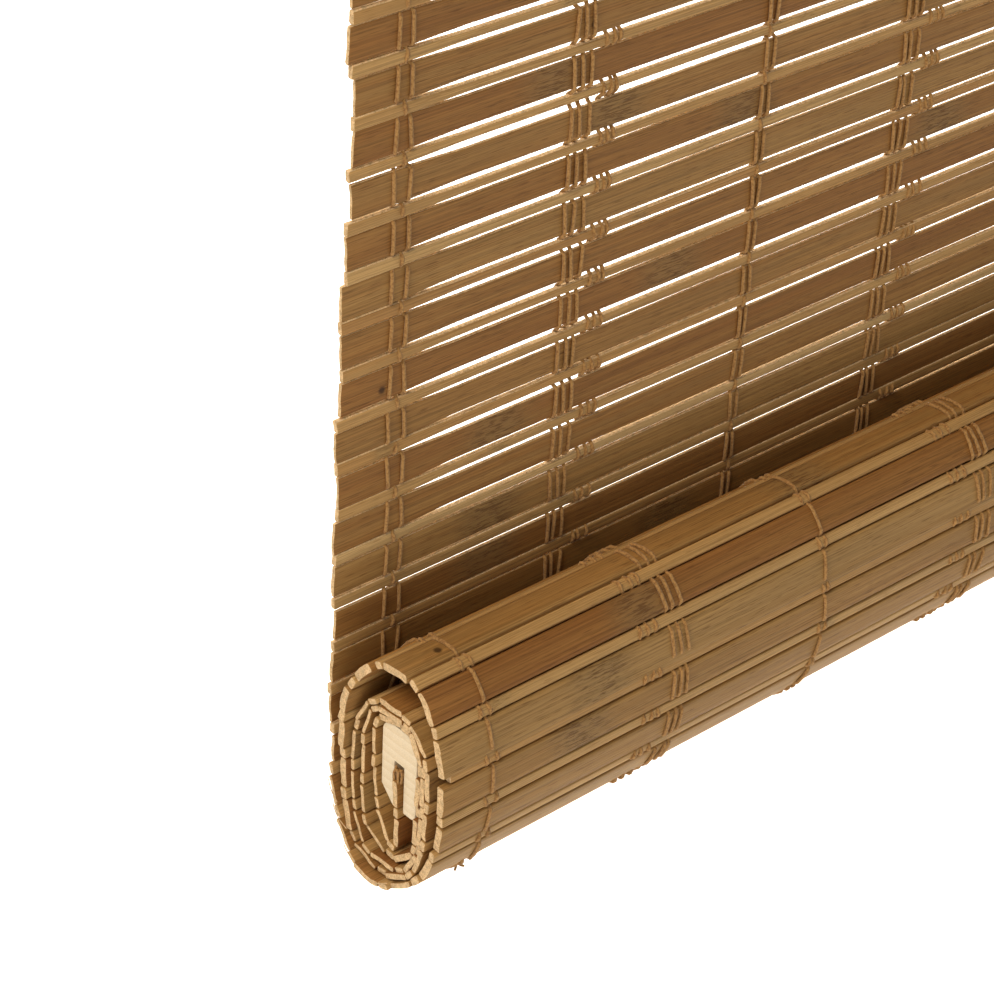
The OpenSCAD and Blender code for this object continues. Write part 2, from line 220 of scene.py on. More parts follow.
# Runs of the slats and sticks, from the top of the mat to its end in the lath
def listPieces():
    hanging, rolled = [], []
    toStick = mat["slatWidth"] + mat["rowGap"] + mat["stickWidth"] / 2
    for j in range(mat["hangRows"]):
        top = (j - mat["hangRows"]) * rowStep
        hanging.append(("slat", top + mat["slatWidth"] / 2))
        hanging.append(("stick", top + toStick))
    last = rollLength - roll["slotStop"]
    fromCrest = last - toStick - crestRun
    step = fromCrest / round(fromCrest / rowStep)  # so that a stick lies at the crest
    place = last - mat["slatWidth"] / 2
    while place - mat["slatWidth"] / 2 > -mat["rowGap"]:
        rolled.append(("slat", place))
        if place - toStick > 0:
            rolled.append(("stick", place + mat["slatWidth"] / 2 - toStick))
        place -= step
    rolled.reverse()
    rolled[0] = ("slat", mat["slatWidth"] / 2)  # starts where the hanging mat ends
    return hanging, rolled


hangingPieces, rolledPieces = listPieces()
print("mat laid out,", len(hangingPieces), "pieces hanging and", len(rolledPieces), "rolled")


# Materials

def linear(hexColour):
    channels = [int(hexColour[i:i + 2], 16) / 255 for i in (1, 3, 5)]
    return [c / 12.92 if c <= 0.04045 else ((c + 0.055) / 1.055) ** 2.4 for c in channels] + [1.0]


# Adds a node, sets its properties and sockets, colour stops and links
def addNode(tree, kind, settings=None, links=None, stops=None):
    node = tree.nodes.new(kind)
    for key, value in (settings or {}).items():
        if isinstance(key, str) and hasattr(node, key):
            setattr(node, key, value)
        else:
            node.inputs[key].default_value = value
    for key, source in (links or {}).items():
        tree.links.new(source, node.inputs[key])
    for i, (place, value) in enumerate(stops or []):
        elements = node.color_ramp.elements
        stop = elements[i] if i < 2 else elements.new(place)  # a new ramp has two
        stop.position = place
        stop.color = linear(value) if isinstance(value, str) else (value, value, value, 1)
    return node


mixShare, mixA, mixB, mixOut = 0, 6, 7, 2  # sockets of a Mix node that mixes colours


def newMaterial(name, settings):
    material = bpy.data.materials.new(name)
    material.use_nodes = True
    tree = material.node_tree
    shader = tree.nodes["Principled BSDF"]
    for key, value in settings.items():
        shader.inputs[key].default_value = value
    return material, tree, shader


# Pattern cells in a metre, along the blind and across it, from the size of one streak
def grainCells(length, width):
    return 1 / (length * mm), 1 / (width * mm), 1 / (width * mm)


# Where the mat shows the cane's nodes and its small dark knots: run and place across the blind
caneMarks = {
    "hangingNodes": ((-164, -217), (-150, -167), (-107, -191), (-80, -252), (-52, -254), (-25, -184)),
    "rolledNodes": ((-7, -156), (-21, -228), (-35, -247), (-49, -255)),  # run from the crest
    "nodeReach": 300,  # elsewhere a piece has a node anywhere within this
    "nodeStep": (260, 380),  # and a second one this far on
    "tone": (0.57, 0.18),  # mean paleness of the pieces, and how it varies
    "rolledTones": (  # run from the crest, and how pale the slats in front are
        (-7, 0.76), (-21, 0.42), (-35, 0.95), (-49, 0.8), (-63, 0.85), (-77, 0.9), (-91, 0.9),
    ),
    "hangingKnots": ((-106, -293), (-190, -226)),
    "rolledKnots": ((-8, -292),),
    "knotSize": 1.5,
    "knotCore": 0.5,  # share of a knot that is darkest
    "knotShare": 0.85,
    "knotColour": "#33200f",
}
slatNodes = list(caneMarks["hangingNodes"])
slatNodes += [(crestRun + run, x) for run, x in caneMarks["rolledNodes"]]


def knotPoints():
    half = mat["slatThick"] / 2
    spots = [(s, x, half) for s, x in caneMarks["hangingKnots"]]
    spots += [(crestRun + s, x, -half) for s, x in caneMarks["rolledKnots"]]
    return [placeOnMat(np.array([[x, level, 0]]), s)[0] for s, x, level in spots]


# Split bamboo, planed and thinly varnished: straight fibres, short dark flecks, satin gloss
slatLook = {
    "tones": [(0.0, "#7e4d24"), (0.3, "#8b5d2e"), (0.55, "#956936"), (0.8, "#9d7642"), (1.0, "#a5814d")],
    "fibre": (55.0, 0.42, 3.0),  # length and width of a fibre streak, and the noise's detail
    "band": (240.0, 3.2, 1.0),  # broad streaks of darker and paler wood
    "fleck": (7.0, 0.3, 1.0),
    "dash": (5.0, 0.42, 2.0),  # short broken fibres at a cane's node
    "noiseRough": 0.6,
    "apart": 70.0,  # cells by which the pieces' patterns differ
    "bandPull": 0.5,  # how far the broad streaks change the tone
    "fibreShade": [(0.32, 0.68), (0.68, 1.2)],
    "fleckShade": [(0.59, 0.0), (0.7, 0.55)],
    "fleckColour": "#5c3a1c",
    "knuckle": 17.0,  # half length of the mottled zone at a cane's node
    "knuckleCore": 0.15,  # share of it that is mottled most
    "knuckleGround": "#8d7147",
    "groundShare": 0.5,
    "dashShade": (0.51, 0.58),
    "dashShare": 0.6,
    "dashColour": "#553317",
    "roughness": (0.46, 0.66),
    "bump": 0.2,
}
stickLook = dict(
    slatLook,
    tones=[(0.0, "#a47845"), (0.35, "#b0864f"), (0.7, "#ba945d"), (1.0, "#c19e69")],
    fibre=(70.0, 0.32, 3.0),
    fleckColour="#8a6236",
    knuckle=5.0,
    knuckleGround="#a98a58",
    dashColour="#7a5a33",
)


def splitBamboo(name, look):
    material, tree, shader = newMaterial(name, {"IOR": 1.5, "Specular IOR Level": 0.18})
    place = addNode(tree, "ShaderNodeTexCoord")
    own = addNode(tree, "ShaderNodeAttribute", {"attribute_name": "shift"})
    spread = addNode(tree, "ShaderNodeVectorMath", {"operation": "SCALE", "Scale": look["apart"]},
                     {0: own.outputs["Vector"]})
    patterns = {}
    for key in ("fibre", "band", "fleck", "dash"):
        length, width, detail = look[key]
        space = addNode(tree, "ShaderNodeVectorMath",
                        {"operation": "MULTIPLY_ADD", 1: grainCells(length, width)},
                        {0: place.outputs["Object"], 2: spread.outputs[0]})
        noise = addNode(tree, "ShaderNodeTexNoise",
                        {"Scale": 1.0, "Detail": detail, "Roughness": look["noiseRough"]},
                        {"Vector": space.outputs[0]})
        patterns[key] = noise.outputs["Fac"]

    tone = addNode(tree, "ShaderNodeAttribute", {"attribute_name": "tone"})
    drift = addNode(tree, "ShaderNodeMath",
                    {"operation": "MULTIPLY_ADD", 1: look["bandPull"], 2: -look["bandPull"] / 2},
                    {0: patterns["band"]})
    toned = addNode(tree, "ShaderNodeMath", {"operation": "ADD", "use_clamp": True},
                    {0: tone.outputs["Fac"], 1: drift.outputs[0]})
    base = addNode(tree, "ShaderNodeValToRGB", None, {"Fac": toned.outputs[0]}, look["tones"])
    streak = addNode(tree, "ShaderNodeValToRGB", None, {"Fac": patterns["fibre"]}, look["fibreShade"])
    grained = addNode(tree, "ShaderNodeMix", {"data_type": "RGBA", "blend_type": "MULTIPLY", mixShare: 1.0},
                      {mixA: base.outputs["Color"], mixB: streak.outputs["Color"]})
    speck = addNode(tree, "ShaderNodeValToRGB", None, {"Fac": patterns["fleck"]}, look["fleckShade"])
    flecked = addNode(tree, "ShaderNodeMix", {"data_type": "RGBA", mixB: linear(look["fleckColour"])},
                      {mixShare: speck.outputs["Color"], mixA: grained.outputs[mixOut]})

    # The cane's nodes: a greyer ground with short dark dashes, where the fibres break up
    along = addNode(tree, "ShaderNodeSeparateXYZ", None, {0: place.outputs["Object"]})
    zones = []
    for key in ("nodeOne", "nodeTwo"):
        centre = addNode(tree, "ShaderNodeAttribute", {"attribute_name": key})
        away = addNode(tree, "ShaderNodeMath", {"operation": "SUBTRACT"},
                       {0: along.outputs["X"], 1: centre.outputs["Fac"]})
        far = addNode(tree, "ShaderNodeMath", {"operation": "ABSOLUTE"}, {0: away.outputs[0]})
        zone = addNode(tree, "ShaderNodeMapRange",
                       {"interpolation_type": "SMOOTHSTEP", "From Min": look["knuckle"] * mm,
                        "From Max": look["knuckleCore"] * look["knuckle"] * mm},
                       {"Value": far.outputs[0]})
        zones.append(zone.outputs["Result"])
    nodeZone = addNode(tree, "ShaderNodeMath", {"operation": "MAXIMUM"}, {0: zones[0], 1: zones[1]})
    ground = addNode(tree, "ShaderNodeMath", {"operation": "MULTIPLY", 1: look["groundShare"]},
                     {0: nodeZone.outputs[0]})
    greyed = addNode(tree, "ShaderNodeMix", {"data_type": "RGBA", mixB: linear(look["knuckleGround"])},
                     {mixShare: ground.outputs[0], mixA: flecked.outputs[mixOut]})
    dashes = addNode(tree, "ShaderNodeMapRange",
                     {"From Min": look["dashShade"][0], "From Max": look["dashShade"][1],
                      "To Max": look["dashShare"]},
                     {"Value": patterns["dash"]})
    broken = addNode(tree, "ShaderNodeMath", {"operation": "MULTIPLY"},
                     {0: dashes.outputs["Result"], 1: nodeZone.outputs[0]})
    dashed = addNode(tree, "ShaderNodeMix", {"data_type": "RGBA", mixB: linear(look["dashColour"])},
                     {mixShare: broken.outputs[0], mixA: greyed.outputs[mixOut]})

    colour = dashed.outputs[mixOut]
    for knot in knotPoints():
        away = addNode(tree, "ShaderNodeVectorMath", {"operation": "DISTANCE", 1: knot},
                       {0: place.outputs["Object"]})
        dark = addNode(tree, "ShaderNodeMapRange",
                       {"From Min": caneMarks["knotSize"] * mm,
                        "From Max": caneMarks["knotCore"] * caneMarks["knotSize"] * mm,
                        "To Max": caneMarks["knotShare"]},
                       {"Value": away.outputs["Value"]})
        knotted = addNode(tree, "ShaderNodeMix", {"data_type": "RGBA", mixB: linear(caneMarks["knotColour"])},
                          {mixShare: dark.outputs["Result"], mixA: colour})
        colour = knotted.outputs[mixOut]
    tree.links.new(colour, shader.inputs["Base Color"])

    sheen = addNode(tree, "ShaderNodeMapRange",
                    {"To Min": look["roughness"][0], "To Max": look["roughness"][1]},
                    {"Value": patterns["fibre"]})
    tree.links.new(sheen.outputs["Result"], shader.inputs["Roughness"])
    carved = addNode(tree, "ShaderNodeMath", {"operation": "SUBTRACT"},
                     {0: patterns["fibre"], 1: broken.outputs[0]})
    bump = addNode(tree, "ShaderNodeBump", {"Strength": 0.7, "Distance": look["bump"] * mm},
                   {"Height": carved.outputs[0]})
    tree.links.new(bump.outputs["Normal"], shader.inputs["Normal"])
    return material


# Sawn bamboo end: pale, rough, dotted with the ends of the fibre bundles
endLook = {
    "bundle": 0.55,  # distance between fibre bundles
    "dots": [(0.12, "#b38956"), (0.42, "#dab98b")],  # from a bundle's middle outwards
    "lump": 1.4,  # size of the torn lumps
    "lumpShade": [(0.3, 0.66), (0.62, 1.08)],
    "bump": 0.48,
}


def sawnBamboo(name, look):
    material, tree, shader = newMaterial(name, {"Roughness": 0.85, "IOR": 1.5, "Specular IOR Level": 0.25})
    place = addNode(tree, "ShaderNodeTexCoord")
    bundles = addNode(tree, "ShaderNodeTexVoronoi", {"Scale": 1 / (look["bundle"] * mm)},
                      {"Vector": place.outputs["Object"]})
    lumps = addNode(tree, "ShaderNodeTexNoise",
                    {"Scale": 1 / (look["lump"] * mm), "Detail": 3.0, "Roughness": 0.65},
                    {"Vector": place.outputs["Object"]})
    dots = addNode(tree, "ShaderNodeValToRGB", None, {"Fac": bundles.outputs["Distance"]}, look["dots"])
    shade = addNode(tree, "ShaderNodeValToRGB", None, {"Fac": lumps.outputs["Fac"]}, look["lumpShade"])
    mixed = addNode(tree, "ShaderNodeMix", {"data_type": "RGBA", "blend_type": "MULTIPLY", mixShare: 1.0},
                    {mixA: dots.outputs["Color"], mixB: shade.outputs["Color"]})
    tree.links.new(mixed.outputs[mixOut], shader.inputs["Base Color"])
    bump = addNode(tree, "ShaderNodeBump", {"Strength": 1.0, "Distance": look["bump"] * mm},
                   {"Height": lumps.outputs["Fac"]})
    tree.links.new(bump.outputs["Normal"], shader.inputs["Normal"])
    return material


# Planed pine, bare: pale cream with soft straw year rings that run along the batten
pineLook = {
    "ring": (220.0, 2.6),  # how far a year ring runs, and the distance between rings
    "ringStart": (0.3, 9.0, 4.0),  # moves the rings' middle off the origin, in cells
    "ringScale": 0.28,  # brings one turn of the wave to about one ring
    "rings": [(0.1, "#e6d4b6"), (0.95, "#dfcaa6")],
    "pore": (9.0, 0.22),
    "poreShade": [(0.3, 0.88), (0.65, 1.05)],
    "bump": 0.12,
}


def planedPine(name, look):
    material, tree, shader = newMaterial(name, {"Roughness": 0.66, "IOR": 1.5, "Specular IOR Level": 0.3})
    place = addNode(tree, "ShaderNodeTexCoord")
    ringSpace = addNode(tree, "ShaderNodeVectorMath",
                        {"operation": "MULTIPLY_ADD", 1: grainCells(*look["ring"]), 2: look["ringStart"]},
                        {0: place.outputs["Object"]})
    rings = addNode(tree, "ShaderNodeTexWave",
                    {"wave_type": "RINGS", "rings_direction": "X", "wave_profile": "SAW",
                     "Scale": look["ringScale"], "Distortion": 3.0, "Detail": 2.0, "Detail Scale": 0.6},
                    {"Vector": ringSpace.outputs[0]})
    poreSpace = addNode(tree, "ShaderNodeVectorMath", {"operation": "MULTIPLY", 1: grainCells(*look["pore"])},
                        {0: place.outputs["Object"]})
    pores = addNode(tree, "ShaderNodeTexNoise", {"Scale": 1.0, "Detail": 2.0},
                    {"Vector": poreSpace.outputs[0]})
    ringed = addNode(tree, "ShaderNodeValToRGB", None, {"Fac": rings.outputs["Fac"]}, look["rings"])
    shade = addNode(tree, "ShaderNodeValToRGB", None, {"Fac": pores.outputs["Fac"]}, look["poreShade"])
    mixed = addNode(tree, "ShaderNodeMix", {"data_type": "RGBA", "blend_type": "MULTIPLY", mixShare: 1.0},
                    {mixA: ringed.outputs["Color"], mixB: shade.outputs["Color"]})
    tree.links.new(mixed.outputs[mixOut], shader.inputs["Base Color"])
    bump = addNode(tree, "ShaderNodeBump", {"Strength": 0.6, "Distance": look["bump"] * mm},
                   {"Height": pores.outputs["Fac"]})
    tree.links.new(bump.outputs["Normal"], shader.inputs["Normal"])
    return material


# Twisted cotton thread, dyed tan: dull, with fine fuzz; the darker colour between the plies is painted shade
# in their hollows
cottonLook = {
    "ply": 0.7,  # drawn a little coarser than the real twist, so that it shows
    # the dark stop is painted shade in the hollows between the plies, the pale one the tan of the dye
    "plies": [(0.32, "#865e34"), (0.58, "#b0864f")],
    "bump": 0.1,
}


def twistedCotton(name, look):
    fuzz = {"Roughness": 0.9, "Specular IOR Level": 0.2, "Sheen Weight": 0.1, "Sheen Roughness": 0.6}
    material, tree, shader = newMaterial(name, fuzz)
    place = addNode(tree, "ShaderNodeTexCoord")
    plies = addNode(tree, "ShaderNodeTexNoise",
                    {"Scale": 1 / (look["ply"] * mm), "Detail": 2.0, "Roughness": 0.6},
                    {"Vector": place.outputs["Object"]})
    # the ply noise colours the thread: dark as painted shade in the hollows, pale as the dyed tan
    colour = addNode(tree, "ShaderNodeValToRGB", None, {"Fac": plies.outputs["Fac"]}, look["plies"])
    tree.links.new(colour.outputs["Color"], shader.inputs["Base Color"])
    bump = addNode(tree, "ShaderNodeBump", {"Strength": 0.8, "Distance": look["bump"] * mm},
                   {"Height": plies.outputs["Fac"]})
    tree.links.new(bump.outputs["Normal"], shader.inputs["Normal"])
    return material


# Pressed steel, zinc plated: cool grey with faint crystal patches and fine rolling lines
zincLook = {
    "crystal": 3.5,
    "patches": [(0.0, "#9da3a6"), (1.0, "#c3c7c9")],
    "line": (14.0, 0.25),
    "roughness": (0.28, 0.46),
    "bump": 0.05,
}


def zincSteel(name, look):
    material, tree, shader = newMaterial(name, {"Metallic": 1.0})
    place = addNode(tree, "ShaderNodeTexCoord")
    crystals = addNode(tree, "ShaderNodeTexVoronoi", {"Scale": 1 / (look["crystal"] * mm)},
                       {"Vector": place.outputs["Object"]})
    space = addNode(tree, "ShaderNodeVectorMath", {"operation": "MULTIPLY", 1: grainCells(*look["line"])},
                    {0: place.outputs["Object"]})
    lines = addNode(tree, "ShaderNodeTexNoise", {"Scale": 1.0, "Detail": 2.0}, {"Vector": space.outputs[0]})
    patch = addNode(tree, "ShaderNodeSeparateColor", None, {0: crystals.outputs["Color"]})
    colour = addNode(tree, "ShaderNodeValToRGB", None, {"Fac": patch.outputs[0]}, look["patches"])
    tree.links.new(colour.outputs["Color"], shader.inputs["Base Color"])
    gloss = addNode(tree, "ShaderNodeMapRange",
                    {"To Min": look["roughness"][0], "To Max": look["roughness"][1]},
                    {"Value": lines.outputs["Fac"]})
    tree.links.new(gloss.outputs["Result"], shader.inputs["Roughness"])
    bump = addNode(tree, "ShaderNodeBump", {"Strength": 0.25, "Distance": look["bump"] * mm},
                   {"Height": lines.outputs["Fac"]})
    tree.links.new(bump.outputs["Normal"], shader.inputs["Normal"])
    return material


# Moulded nylon: milky off-white, soft sheen, faint flow marks
nylonLook = {
    "mark": 2.2,
    "flow": [(0.3, "#d9d4c6"), (0.6, "#ebe8df")],
    "glow": 1.5,  # how deep light goes in
    "bump": 0.05,
}


def mouldedNylon(name, look):
    milk = {"Roughness": 0.42, "IOR": 1.53, "Subsurface Weight": 0.15, "Subsurface Scale": look["glow"] * mm}
    material, tree, shader = newMaterial(name, milk)
    place = addNode(tree, "ShaderNodeTexCoord")
    marks = addNode(tree, "ShaderNodeTexNoise",
                    {"Scale": 1 / (look["mark"] * mm), "Detail": 3.0, "Distortion": 0.6},
                    {"Vector": place.outputs["Object"]})
    colour = addNode(tree, "ShaderNodeValToRGB", None, {"Fac": marks.outputs["Fac"]}, look["flow"])
    tree.links.new(colour.outputs["Color"], shader.inputs["Base Color"])
    bump = addNode(tree, "ShaderNodeBump", {"Strength": 0.2, "Distance": look["bump"] * mm},
                   {"Height": marks.outputs["Fac"]})
    tree.links.new(bump.outputs["Normal"], shader.inputs["Normal"])
    return material


slatBamboo = splitBamboo("split_bamboo_satin", slatLook)
stickBamboo = splitBamboo("split_bamboo_pale", stickLook)
endBamboo = sawnBamboo("bamboo_sawn_end", endLook)
pine = planedPine("pine_planed", pineLook)
cotton = twistedCotton("cotton_twisted_tan", cottonLook)
zinc = zincSteel("steel_zinc_plated", zincLook)
nylon = mouldedNylon("nylon_moulded", nylonLook)
print("materials made")


# Slats and sticks

slatShape = {
    "cuts": (0, 0.15, 0.3, 0.45, 0.6, 0.75, 0.88, 0.94),  # shares of the half length
    "widthCuts": 4,
    "edgeBevel": 0.55,
    "endBevel": 0.3,
    "bevelSteps": 2,
    "hangThick": (1.0, 1.4),
    "outerThick": (2.5, 2.8),  # slats of the loose outer turn are the stoutest
    "innerThick": (1.7, 2.1),
    "backThick": (1.15, 1.5),
    "hangWider": (-1.0, -0.3),
    "edgeWider": 1.5,  # the gaps close towards the mat's edges
    "middleWider": 0.55,  # and are narrower in the middle
    "lowWider": 0.2,  # and near the roll
    "closeWider": (0.3, 0.6),
    "rollWider": (0.35, 0.6),
    "firstWider": -0.5,  # leaves room for the hanging mat when the roll is up
    "bendWider": 0.4,
    "shift": 0.3,  # how far a piece lies from the middle of its place
    "bow": 0.45,  # how far it wanders from a straight line
    "lift": 0.2,  # how far it bows out of the mat
    "endJog": 0.9,
    "endTilt": 0.06,
    "endRagged": 0.12,
}
stickShape = {
    "cuts": slatShape["cuts"],
    "widthCuts": 1,
    "edgeBevel": 0.6,
    "endBevel": 0.3,
    "bevelSteps": 2,
    "hangThick": (1.4, 1.9),
    "outerThick": (2.2, 2.6),
    "innerThick": (1.8, 2.2),
    "backThick": (1.5, 1.8),
    "hangWider": (-0.8, -0.1),
    "edgeWider": 1.2,
    "middleWider": 0.4,
    "lowWider": 0.1,
    "closeWider": (0.4, 0.8),
    "rollWider": (0.4, 0.7),
    "bendWider": 0.4,
    "shift": 0.4,
    "bow": 0.45,
    "lift": 0.15,
    "endJog": 1.0,
    "endTilt": 0.1,
    "endRagged": 0.12,
}
shapes = {"slat": slatShape, "stick": stickShape}

# Where the gaps of the hanging mat change
gaps = {
    "edge": (0.88, 0.95),  # shares of the half width
    "middle": (0.62, 0.8),
    "low": (-165, -135),  # runs
    "closeRows": 4,  # rows just above the roll, where the gaps close
}

# How the pieces stray from their drawn shape
stray = {
    "phase": 6.28,
    "waves": (1.2, 2.6),  # radians of a bow over half the length
    "liftWaves": 1.7,  # bows out of the mat are shorter by this
    "rolledCalm": 0.3,  # wound tight, the pieces lie straighter
    "rolledJog": 0.5,  # and end more evenly
    "endFrom": 0.96,  # share of the half length where a sawn end begins
    "torn": (0.8, 2.1),  # radians in a millimetre of the coarse and fine waves on an end
    "fineTorn": 0.7,
    "leftEdge": (  # height, and how far the slats there have shifted in their threads
        (-655, -2.4), (-622, -2.9), (-575, -2.0), (-530, -1.4), (-466, 1.6), (-437, -0.1),
    ),
}

# Two odd pieces on the roll's front, runs from the crest
oddPieces = {"shortStick": -42, "short": 2.5, "wideSlat": -35, "wider": 2.0}

# How squarely a pale face points along the blind, or along the mat
paleFaces = {"end": 0.5, "edge": 0.8}


# Selects the edges that pass a test on their two ends, and stays in edit mode
def pickEdges(piece, test):
    bpy.ops.object.mode_set(mode="EDIT")
    bpy.ops.mesh.select_mode(type="EDGE")
    bpy.ops.mesh.select_all(action="DESELECT")
    bpy.ops.object.mode_set(mode="OBJECT")
    points = piece.data.vertices
    for edge in piece.data.edges:
        edge.select = test(points[edge.vertices[0]].co, points[edge.vertices[1]].co)
    bpy.ops.object.mode_set(mode="EDIT")


# A bar across the blind, its edges worn round and cut so that it can bow and curl
def modelBar(kind, shape):
    length, thick, width = mat["width"] * mm, mat[kind + "Thick"] * mm, mat[kind + "Width"]
    clearSelection()
    bpy.ops.mesh.primitive_cube_add(size=1)
    bar = bpy.context.active_object
    bar.name = kind
    bar.scale = (length, thick, width * mm)
    bpy.ops.object.transform_apply(location=False, rotation=False, scale=True)
    pickEdges(bar, lambda a, b: abs(a.x - b.x) > length / 2)  # the four long edges
    bpy.ops.mesh.bevel(offset=shape["edgeBevel"] * mm, segments=shape["bevelSteps"])
    pickEdges(bar, lambda a, b: abs(a.x - b.x) < hair)  # round both ends
    bpy.ops.mesh.bevel(offset=shape["endBevel"] * mm, segments=shape["bevelSteps"])
    for share in sorted({side * cut for cut in shape["cuts"] for side in (-1, 1)}):
        bpy.ops.mesh.select_all(action="SELECT")
        bpy.ops.mesh.bisect(plane_co=(share * mat["width"] / 2 * mm, 0, 0), plane_no=(1, 0, 0))
    for i in range(1, shape["widthCuts"]):
        cutZ = (i / shape["widthCuts"] - 0.5) * width * mm
        bpy.ops.mesh.select_all(action="SELECT")
        bpy.ops.mesh.bisect(plane_co=(0, 0, cutZ), plane_no=(0, 0, 1))
    bpy.ops.object.mode_set(mode="OBJECT")
    return bar


# The sawn ends are pale. The split edges get the pale end finish only on the hanging mat: partly the paler
# raw bamboo of a split, partly painted light on edges lit from behind; on the roll they keep the darker face
# finish as painted shade
def markPale(piece, withLitPaleEdges):
    for face in piece.data.polygons:
        isEnd = abs(face.normal.x) > paleFaces["end"]
        isEdge = abs(face.normal.z) > paleFaces["edge"]
        face.material_index = isEnd or withLitPaleEdges and isEdge
        face.use_smooth = True


def pointsOf(mesh):
    points = np.zeros(len(mesh.vertices) * 3)
    mesh.vertices.foreach_get("co", points)
    return points.reshape(-1, 3)


def isNear(s, run):
    return abs(s - run) < rowStep / 2


# Which thickness a piece has at run s
def layerAt(s):
    if s < 0:
        return "hang"
    if roll["stoutFrom"] < s < roll["looseRun"]:
        return "outer"
    return "back" if matPoint(s)[0] < lathBack else "inner"


# How much wider than drawn a piece is, which sets the gaps beside it
def extraWidth(kind, s, share, rand):
    shape = shapes[kind]
    place = "hang" if s < -gaps["closeRows"] * rowStep else "close" if s < 0 else "roll"
    wider = rand.uniform(*shape[place + "Wider"]) + shape["bendWider"] * (0 < s < roll["bendRun"])
    if place == "hang":
        wider += shape["edgeWider"] * np.interp(abs(share), gaps["edge"], (0, 1))
        wider += shape["middleWider"] * np.interp(abs(share), gaps["middle"], (1, 0))
        wider += shape["lowWider"] * np.interp(s, gaps["low"], (0, 1))
    if kind == "slat" and 0 < s < mat["slatWidth"]:
        wider = shape["firstWider"]
    return wider


# Bows a piece along the mat and out of it
def bowPiece(points, share, kind, s, phase, waves, rand):
    shape = shapes[kind]
    calm = stray["rolledCalm"] if s > 0 else 1.0
    liftWaves = stray["liftWaves"] * waves
    points[:, 2] += calm * rand.uniform(-1, 1) * (shape["shift"] + shape["bow"] * share)
    points[:, 2] += calm * rand.uniform(-1, 1) * shape["bow"] * np.sin(waves * share + phase)
    points[:, 1] += calm * rand.uniform(-1, 1) * shape["lift"] * np.sin(liftWaves * share + 2 * phase)


# Moves, tilts and tears the two sawn ends
def tearEnds(points, share, kind, s, phase, rand):
    shape = shapes[kind]
    uneven = shape["endJog"] * (stray["rolledJog"] if s > 0 else 1)
    left, right = (rand.uniform(-1, 1) * uneven for end in (0, 1))
    if kind == "stick" and isNear(s, crestRun + oddPieces["shortStick"]):
        left += oddPieces["short"]
    if s < 0:
        left += np.interp(rollZ - s, *zip(*stray["leftEdge"]))
    tilt = rand.uniform(-1, 1) * shape["endTilt"]
    jog = np.where(share < -stray["endFrom"], left, np.where(share > stray["endFrom"], right, 0))
    coarse, fine = stray["torn"]
    y, z = points[:, 1], points[:, 2]
    torn = np.sin(coarse * z + phase) + stray["fineTorn"] * np.sin(fine * z + 3 * phase + y)
    isEnd = abs(share) > stray["endFrom"]
    points[:, 0] += jog + (tilt * z + shape["endRagged"] * torn) * isEnd + endShift(s)


# Gives a piece its paleness, its own part of the patterns, and two cane nodes
def markPiece(piece, kind, s, rand):
    first = rand.uniform(-caneMarks["nodeReach"], caneMarks["nodeReach"])
    tone = min(max(rand.gauss(*caneMarks["tone"]), 0), 1)
    if kind == "slat":
        first = next((x for run, x in slatNodes if isNear(s, run)), first)
        tone = next((pale for run, pale in caneMarks["rolledTones"] if isNear(s, crestRun + run)), tone)
    values = {"tone": tone, "shift": rand.random(), "nodeOne": first * mm}
    values["nodeTwo"] = (first + rand.choice((-1, 1)) * rand.uniform(*caneMarks["nodeStep"])) * mm
    for key, value in values.items():
        attribute = piece.data.attributes.new(key, "FLOAT", "POINT")
        attribute.data.foreach_set("value", np.full(len(piece.data.vertices), value, np.float32))


# Bows one copy in its own way, then puts it in its row
def layPiece(master, kind, s, rand):
    piece = master.copy()
    piece.data = master.data.copy()
    bpy.context.scene.collection.objects.link(piece)
    width, thick = mat[kind + "Width"], mat[kind + "Thick"]
    points = pointsOf(piece.data) / mm
    share = points[:, 0] / (mat["width"] / 2)
    phase, waves = rand.uniform(0, stray["phase"]), rand.uniform(*stray["waves"])
    points[:, 2] *= 1 + extraWidth(kind, s, share, rand) / width
    if kind == "slat" and isNear(s, crestRun + oddPieces["wideSlat"]):
        points[:, 2] -= oddPieces["wider"] * (points[:, 2] < 0)
    points[:, 1] *= rand.uniform(*shapes[kind][layerAt(s) + "Thick"]) / thick
    bowPiece(points, share, kind, s, phase, waves, rand)
    tearEnds(points, share, kind, s, phase, rand)
    piece.data.vertices.foreach_set("co", placeOnMat(points, s, width).ravel())
    markPiece(piece, kind, s, rand)
    return piece


def joinPieces(pieces, name):
    makeActive(*pieces)
    bpy.ops.object.join()
    joined = bpy.context.active_object
    joined.name = joined.data.name = name
    joined.data.update()
    return joined


def rideOn(piece, body, slot, *nodes):
    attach(piece, body)
    if nodes:
        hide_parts(*nodes)


def foldWithRoll(piece):
    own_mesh(piece)


masters = {kind: modelBar(kind, shape) for kind, shape in shapes.items()}
for kind, bamboo in (("slat", slatBamboo), ("stick", stickBamboo)):
    masters[kind].data.materials.append(bamboo)
    masters[kind].data.materials.append(endBamboo)

# Both parts of the mat: name, pieces, body and seed
matParts = (("hanging", hangingPieces, "head", 11), ("rolled", rolledPieces, "roll", 23))
for part, pieces, body, seed in matParts:
    for kind, master in masters.items():
        # the hanging copies get pale split edges as painted light, the rolled copies keep dark ones as
        # painted shade
        markPale(master, part == "hanging")
        rand = random.Random(seed + len(kind))
        copies = [layPiece(master, kind, s, rand) for what, s in pieces if what == kind]
        joined = joinPieces(copies, f"{part}_{kind}s")
        rideOn(joined, body, "bamboo", f"{part}_mat")
        if part == "hanging":
            foldWithRoll(joined)
        print(joined.name, len(joined.data.polygons), "faces")
for master in masters.values():
    bpy.data.objects.remove(master)


